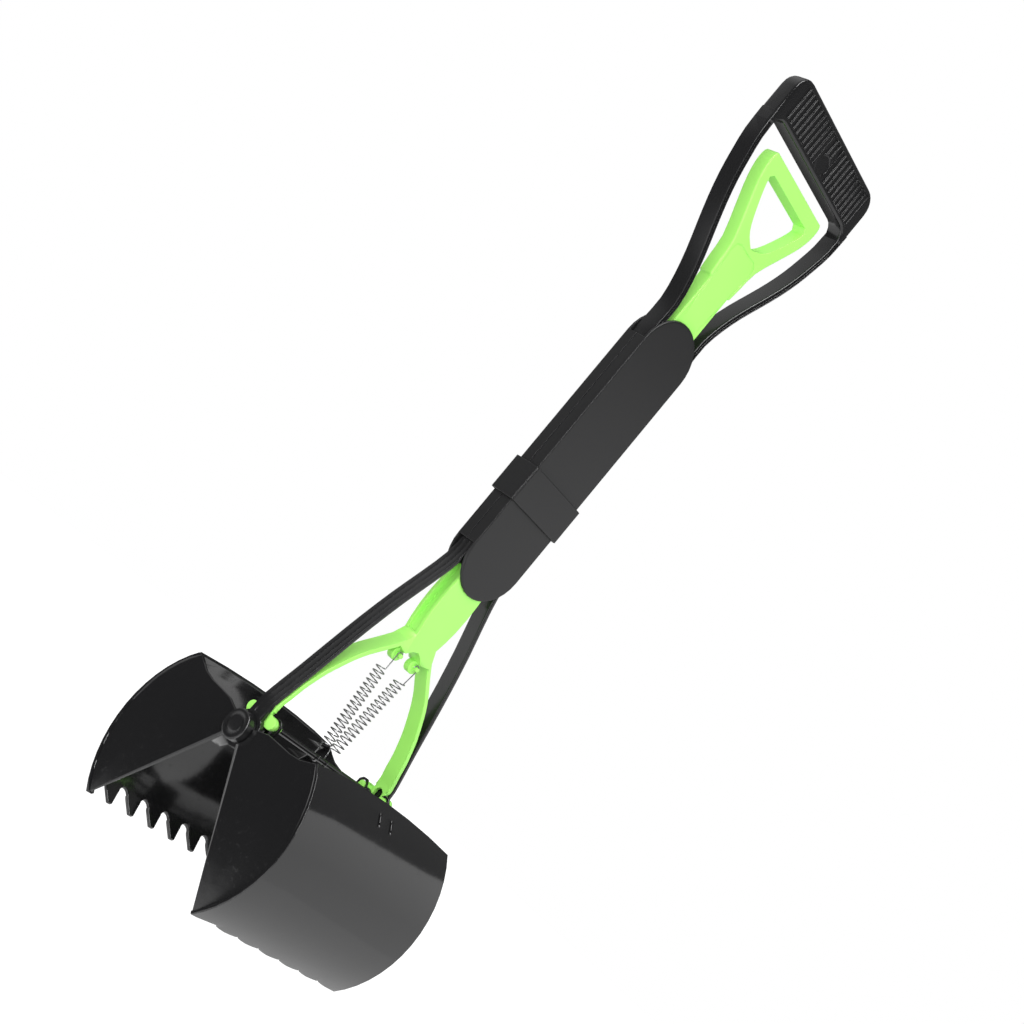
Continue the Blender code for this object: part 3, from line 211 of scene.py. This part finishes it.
class Tree:
    """The node tree of a material or of the world, emptied and ready for its nodes."""

    def __init__(self, owner):
        owner.use_nodes = True
        self.nodes = owner.node_tree.nodes
        self.links = owner.node_tree.links
        self.nodes.clear()

    def add(self, kind, settings=None, inputs=None, output=0):
        """A node of one type: its settings, the values or links of its sockets, and the output to use."""
        node = self.nodes.new(kind)
        for name, setting in (settings or {}).items():
            setattr(node, name, setting)
        for key, value in (inputs or {}).items():
            if isinstance(value, Value):
                self.links.new(value.socket, node.inputs[key])
            else:
                node.inputs[key].default_value = value
        return Value(self, node.outputs[output]) if node.outputs else node

    def vector(self, operation, inputs, output="Vector"):
        return self.add("ShaderNodeVectorMath", {"operation": operation}, inputs, output)

    def between(self, value, low, high, to_low=0.0, to_high=1.0):
        """The value moved from one range to another, and held inside it."""
        return self.add(
            "ShaderNodeMapRange", {"clamp": True},
            {"Value": value, "From Min": low, "From Max": high, "To Min": to_low, "To Max": to_high},
        )

    def place(self):
        """Where a point of the surface lies, in metres."""
        return self.add("ShaderNodeTexCoord", output="Object")

    def noise(self, scale, detail=2.0, roughness=0.5, distortion=0.0):
        return self.add(
            "ShaderNodeTexNoise", None,
            {
                "Vector": self.place(), "Scale": scale, "Detail": detail, "Roughness": roughness,
                "Distortion": distortion,
            },
        )

    def tinted(self, share, first, second):
        """A colour that turns from the first to the second as the share goes from 0 to 1."""
        return self.add(
            "ShaderNodeMix", {"data_type": "RGBA"},
            {MIX_FACTOR: share, MIX_FIRST: (*first, 1), MIX_SECOND: (*second, 1)}, MIX_RESULT,
        )

    def bumped(self, height, distance, strength, base=None):
        """The surface raised by a pattern, on top of another such relief if there is one."""
        inputs = {"Height": height, "Distance": distance, "Strength": strength}
        if base:
            inputs["Normal"] = base
        return self.add("ShaderNodeBump", None, inputs)

    def close(self, colour, roughness, normal, **even):
        """Ends a surface material: what varies comes as links, what is even as plain numbers."""
        inputs = {"Base Color": colour, "Roughness": roughness, "Normal": normal}
        inputs.update({key.replace("_", " "): value for key, value in even.items()})
        shader = self.add("ShaderNodeBsdfPrincipled", None, inputs)
        self.add("ShaderNodeOutputMaterial", None, {"Surface": shader})


def varied(share, low, high):
    """A number that goes from low to high as the share goes from 0 to 1."""
    return low + share * (high - low)


def new_material(name):
    material = bpy.data.materials.new(name)
    return material, Tree(material)


def add_object(name, data):
    thing = bpy.data.objects.new(name, data)
    bpy.context.scene.collection.objects.link(thing)
    return thing


def jaw_plastic():
    """Glossy black moulded plastic, slightly wavy, with faint flow marks and dull spots."""
    material, tree = new_material("glossy black jaw plastic")
    cloud = tree.noise(scale=9, detail=3)
    spots = tree.between(tree.noise(scale=420, detail=2), low=0.62, high=0.72)
    colour = tree.tinted(cloud, *BLACK_SHADES)
    roughness = varied(cloud, *JAW_ROUGHNESS) + spots * SPOT_ROUGHNESS
    wave = tree.noise(scale=95, detail=2, roughness=0.45)
    grain = tree.noise(scale=900, detail=2)
    wavy = tree.bumped(wave, distance=0.07 * MM, strength=0.5)
    normal = tree.bumped(grain, distance=0.01 * MM, strength=0.5, base=wavy)
    tree.close(colour, roughness, normal, Specular_IOR_Level=0.62)
    return material


def frame_plastic():
    """Satin black moulded plastic with a fine leathery grain."""
    material, tree = new_material("satin black frame plastic")
    cloud = tree.noise(scale=11, detail=3)
    colour = tree.tinted(cloud, *BLACK_SHADES)
    roughness = varied(cloud, *FRAME_ROUGHNESS)
    grain = tree.noise(scale=1500, detail=3, roughness=0.6)
    wave = tree.noise(scale=25, detail=1, roughness=0.4)
    wavy = tree.bumped(wave, distance=0.15 * MM, strength=0.4)
    normal = tree.bumped(grain, distance=0.02 * MM, strength=0.5, base=wavy)
    tree.close(colour, roughness, normal, Specular_IOR_Level=0.55)
    return material


def sleeve_plastic():
    """Matt black plastic of the sleeve, a little greyer, with a fine spark-eroded texture and scuffs."""
    material, tree = new_material("matt black sleeve plastic")
    cloud = tree.noise(scale=7, detail=4, roughness=0.6)
    colour = tree.tinted(cloud, *SLEEVE_SHADES)
    grain = tree.noise(scale=2200, detail=3, roughness=0.65)
    streaks = tree.noise(scale=60, detail=5, roughness=0.7, distortion=1.5)
    scuffs = tree.between(streaks, low=0.66, high=0.78)
    roughness = varied(cloud, *SLEEVE_ROUGHNESS) + scuffs * SCUFF_ROUGHNESS
    normal = tree.bumped(grain, distance=0.03 * MM, strength=0.6)
    tree.close(colour, roughness, normal, Specular_IOR_Level=0.4)
    return material


def green_plastic():
    """Bright lime moulded plastic, semi-gloss and slightly cloudy."""
    material, tree = new_material("lime green plastic")
    cloud = tree.noise(scale=16, detail=3)
    colour = tree.tinted(cloud, *GREEN_SHADES)
    roughness = varied(cloud, *GREEN_ROUGHNESS)
    grain = tree.noise(scale=1300, detail=2)
    wave = tree.noise(scale=30, detail=1, roughness=0.4)
    wavy = tree.bumped(wave, distance=0.12 * MM, strength=0.4)
    normal = tree.bumped(grain, distance=0.012 * MM, strength=0.5, base=wavy)
    tree.close(colour, roughness, normal, Specular_IOR_Level=0.45)
    return material


def steel(name, greys, roughness):
    """Drawn steel with fine marks, between two greys and between two roughnesses."""
    material, tree = new_material(name)
    marks = tree.noise(scale=800, detail=3, roughness=0.6)
    colour = tree.tinted(marks, *[(grey, grey, grey * STEEL_BLUE) for grey in greys])
    normal = tree.bumped(marks, distance=0.01 * MM, strength=0.4)
    tree.close(colour, varied(marks, *roughness), normal, Metallic=1.0)
    return material


def long_sharp_edges(shape, width):
    """The sharp edges that have room for a rounding of this width at both their ends."""
    room = EDGE_ROOM * width
    cramped = {
        vert for vert in shape.verts if any(edge.calc_length() < room for edge in vert.link_edges)
    }
    return [
        edge for edge in shape.edges
        if edge.is_manifold and edge.calc_face_angle(0) > SHARP_ANGLE and not cramped & set(edge.verts)
    ]


def finish_node(frame, node, material, width):
    """A copy of a CAD node with smooth shading and rounded edges, which stands for the node."""
    source = frame["nodes"][node]
    shape = bmesh.new()
    shape.from_mesh(source.data)
    bmesh.ops.remove_doubles(shape, verts=shape.verts, dist=MERGE)
    bmesh.ops.dissolve_degenerate(shape, dist=MERGE, edges=shape.edges)
    edges = long_sharp_edges(shape, width)
    if edges:
        bmesh.ops.bevel(
            shape, geom=edges, offset=width, segments=EDGE_SEGMENTS, affect="EDGES", profile=0.5,
            material=-1, clamp_overlap=False,
        )
    mesh = bpy.data.meshes.new(f"{node}_finished")
    shape.to_mesh(mesh)
    shape.free()
    mesh.materials.append(material)
    mesh.shade_smooth()
    mesh.set_sharp_from_angle(angle=SHARP_ANGLE)
    piece = add_object(f"{node}_finished", mesh)
    flats = piece.modifiers.new("flat faces shade flat", "WEIGHTED_NORMAL")
    flats.keep_sharp = True
    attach(piece, source["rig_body"])
    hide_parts(node)


def spring_path(side):
    """The wire's middle line: a hook under the spring bar, the coil, a hook over the fork's peg."""
    points = [(COIL_BOTTOM_X, -BAR_HOOK_RADIUS, SPRING_BAR_HEIGHT + HOOK_TIP)]
    for step in range(HOOK_STEPS + 1):
        angle = math.pi * (1 + step / HOOK_STEPS)
        y = BAR_HOOK_RADIUS * math.cos(angle)
        z = SPRING_BAR_HEIGHT + BAR_HOOK_RADIUS * math.sin(angle)
        points.append((COIL_BOTTOM_X, y, z))
    points.append((COIL_BOTTOM_X, BAR_HOOK_RADIUS, (SPRING_BAR_HEIGHT + COIL_BOTTOM) / 2))
    count = round(COIL_TURNS * CURL_POINTS)
    for index in range(count + 1):
        share = index / count
        angle = math.pi / 2 - math.tau * COIL_TURNS * share
        x = COIL_BOTTOM_X + (COIL_TOP_X - COIL_BOTTOM_X) * share + COIL_RADIUS * math.cos(angle)
        z = COIL_BOTTOM + (COIL_TOP - COIL_BOTTOM) * share
        points.append((x, COIL_RADIUS * math.sin(angle), z))
    for step in range(HOOK_STEPS + 1):
        angle = PEG_HOOK_START + PEG_HOOK_TURN * step / HOOK_STEPS
        x = KNOB_X + PEG_HOOK_RADIUS * math.cos(angle)
        points.append((x, PEG_HOOK_Y, KNOB_HEIGHT + PEG_HOOK_RADIUS * math.sin(angle)))
    return [Vector((side * x, y, z + PIVOT_Z)) for x, y, z in points]


def wire_mesh(name, points):
    """A round wire along the points, closed at both ends."""
    curve = bpy.data.curves.new(f"{name}_wire", "CURVE")
    curve.dimensions = "3D"
    curve.bevel_depth = WIRE_RADIUS
    curve.bevel_resolution = WIRE_RESOLUTION
    curve.use_fill_caps = True
    line = curve.splines.new("POLY")
    line.points.add(len(points) - 1)
    for target, point in zip(line.points, points):
        target.co = (*point, 1)
    wire = add_object(f"{name}_curve", curve)
    bpy.context.view_layer.update()
    mesh = bpy.data.meshes.new_from_object(wire.evaluated_get(bpy.context.evaluated_depsgraph_get()))
    bpy.data.objects.remove(wire)
    return mesh


def wind_spring(side, material):
    """A finely wound spring in place of the part's plainer one."""
    name = f"{SIDES[side]}_spring"
    mesh = wire_mesh(name, spring_path(side))
    mesh.materials.clear()
    mesh.materials.append(material)
    mesh.shade_smooth()
    piece = add_object(f"{name}_wound", mesh)
    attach(piece, "frame")
    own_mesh(piece)
    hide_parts(name)


def set_camera():
    camera = bpy.data.cameras.new("camera")
    camera.sensor_width = SENSOR
    camera.lens = FOCAL_PIXELS * SENSOR / PHOTO_PIXELS
    camera.clip_start = CLIP_START
    view = add_object("camera", camera)
    right = Vector(CAMERA_RIGHT).normalized()
    back = right.cross(Vector(CAMERA_UP)).normalized()
    up = back.cross(right)
    turn = Matrix((right, up, back)).transposed()
    view.matrix_world = Matrix.Translation(CAMERA_PLACE) @ turn.to_4x4()
    bpy.context.scene.camera = view


def add_panel():
    """A large upright panel light at the right that only glossy surfaces show."""
    height = PANEL_TOP - PANEL_BOTTOM
    lamp = bpy.data.lights.new("panel", "AREA")
    lamp.shape = "RECTANGLE"
    lamp.size = PANEL_WIDTH
    lamp.size_y = height
    lamp.energy = PANEL_LEVEL * math.pi * PANEL_WIDTH * height
    holder = add_object("panel", lamp)
    away = Vector(PANEL_DIRECTION).normalized()
    holder.location = away * PANEL_DISTANCE + Vector(UP) * (PANEL_TOP - height / 2)
    holder.rotation_euler = away.to_track_quat("Z", "Y").to_euler()
    holder.visible_camera = False
    holder.visible_diffuse = False


def along(tree, direction, towards):
    """How far a direction points towards another one: 1 straight at it, -1 away from it."""
    return tree.vector("DOT_PRODUCT", {0: direction, 1: Vector(towards).normalized()}, "Value")


def even_light(tree, direction):
    """The light from one direction that matt surfaces receive."""
    towards = along(tree, direction, EVEN_DIRECTION).at_least(0.0)
    return towards * towards * EVEN_LOBE + EVEN_LEVEL


def strip_light(tree, direction):
    """A tall narrow light on the camera's side, which draws bright lines on the rounded edges."""
    aside = abs(along(tree, direction, STRIP_SIDE))
    strip = tree.between(aside, STRIP_HALF_WIDTH, STRIP_HALF_WIDTH * STRIP_SOFT, 0, STRIP_LEVEL)
    top_edge = (STRIP_TOP_HALF_WIDTH, STRIP_TOP_HALF_WIDTH * STRIP_SOFT)
    top = tree.between(aside, *top_edge, 0, STRIP_TOP_LEVEL)
    top = top * tree.between(along(tree, direction, UP), *STRIP_TOP_RISE)
    return (strip + top) * tree.between(along(tree, direction, STRIP_FRONT), *STRIP_END)


def glow(tree, direction, centre, edge, level):
    """A soft round light in the gloss, from its edge to its full level nearer its centre."""
    return tree.between(along(tree, direction, centre), *edge) * level


def mirrored_light(tree, direction):
    """The light from one direction that glossy surfaces show, apart from the panel and the floor."""
    glows = glow(tree, direction, *BACK_GLOW) + glow(tree, direction, *FAR_GLOW)
    return strip_light(tree, direction) + glows + GLOSS_DARK


def is_ray(tree, kind):
    """1 for rays of one kind, such as Camera or Glossy, and 0 for others."""
    return tree.add("ShaderNodeLightPath", output=f"Is {kind} Ray")


def by_ray(tree, for_gloss, for_matt):
    """One level for glossy surfaces and another for matt ones."""
    glossy = is_ray(tree, "Glossy")
    return glossy * for_gloss + (1 - glossy) * for_matt


def light_studio():
    """White to the camera, an even light from the front left, and a bright panel in the gloss."""
    scene = bpy.context.scene
    scene.view_settings.view_transform = "Standard"
    world = bpy.data.worlds.new("studio")
    scene.world = world
    tree = Tree(world)
    camera = is_ray(tree, "Camera")
    direction = tree.add("ShaderNodeTexCoord", output="Generated")
    level = by_ray(tree, mirrored_light(tree, direction), even_light(tree, direction))
    level = camera + (1 - camera) * level
    sky = tree.add("ShaderNodeBackground", None, {"Color": (1, 1, 1, 1), "Strength": level})
    tree.add("ShaderNodeOutputWorld", None, {"Surface": sky})
    add_panel()


def floor_white():
    """White to the camera, and in the gloss lit as far as the panel. A matt share keeps the shadow."""
    material, tree = new_material("white floor")
    cloud = tree.noise(scale=3, detail=2)
    colour = tree.tinted(cloud, *[(grey, grey, grey) for grey in FLOOR_GREYS])
    matt = tree.add("ShaderNodeBsdfDiffuse", None, {"Color": colour})
    out = tree.vector("SUBTRACT", {0: tree.place(), 1: Vector(STAGE_CENTRE)})
    direction = tree.vector("NORMALIZE", {0: out})
    camera = is_ray(tree, "Camera")
    flat = tree.vector("SUBTRACT", {0: tree.place(), 1: Vector((0, 0, FLOOR_Z))})
    reach = tree.vector("LENGTH", {0: flat}, "Value")
    to_panel = along(tree, tree.place(), PANEL_DIRECTION)
    before = tree.between(to_panel, PANEL_DISTANCE + PANEL_FOOT, PANEL_DISTANCE - PANEL_FOOT)
    lit = tree.between(reach, *LIT_FLOOR_EDGE) * before
    gloss = lit * LIT_FLOOR_LEVEL + GLOSS_DARK + strip_light(tree, direction)
    other = by_ray(tree, gloss, even_light(tree, direction))
    level = camera * FLOOR_CAMERA_LEVEL + (1 - camera) * other
    white = tree.add("ShaderNodeEmission", None, {"Color": (1, 1, 1, 1), "Strength": level})
    share = 1 - camera * FLOOR_SHADOW_SHARE
    surface = tree.add("ShaderNodeMixShader", None, {0: share, 1: matt, 2: white})
    tree.add("ShaderNodeOutputMaterial", None, {"Surface": surface})
    return material


def lay_floor():
    """A plain floor well below the hanging scooper."""
    shape = bmesh.new()
    bmesh.ops.create_grid(shape, x_segments=1, y_segments=1, size=FLOOR_SIZE / 2)
    bmesh.ops.translate(shape, vec=(0, 0, FLOOR_Z), verts=shape.verts)
    mesh = bpy.data.meshes.new("floor")
    shape.to_mesh(mesh)
    shape.free()
    mesh.materials.append(floor_white())
    floor = add_object("floor", mesh)


def dress(frame):
    """Gives every piece of the part its finish."""
    jaw = jaw_plastic()
    black = frame_plastic()
    sleeve = sleeve_plastic()
    green = green_plastic()
    spring_steel = steel("spring steel", SPRING_GREYS, SPRING_ROUGHNESS)
    zinc = steel("zinc plated steel", ZINC_GREYS, ZINC_ROUGHNESS)
    finishes = {
        "front_jaw": jaw, "rear_jaw": jaw, "collar": sleeve,
        "trigger": green, "slider_rod": green, "fork": green,
    }
    for node in frame["nodes"]:
        if node.endswith("_spring"):
            continue
        if node in finishes:
            material = finishes[node]
        elif node.endswith("_cover"):
            material = sleeve
        elif "screw" in node or node.endswith(("_pin", "_clip")):
            material = zinc
        else:
            material = black
        finish_node(frame, node, material, EDGE_RADII.get(node, EDGE_RADIUS))
    for side in SIDES:
        wind_spring(side, spring_steel)


def clear_stage():
    """Removes the lamp, camera and cube of a new Blender scene."""
    for thing in list(bpy.data.objects):
        if thing.type in ("LIGHT", "CAMERA") or thing.name == "Cube":
            bpy.data.objects.remove(thing)


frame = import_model()
clear_stage()
set_camera()
light_studio()
lay_floor()
dress(frame)
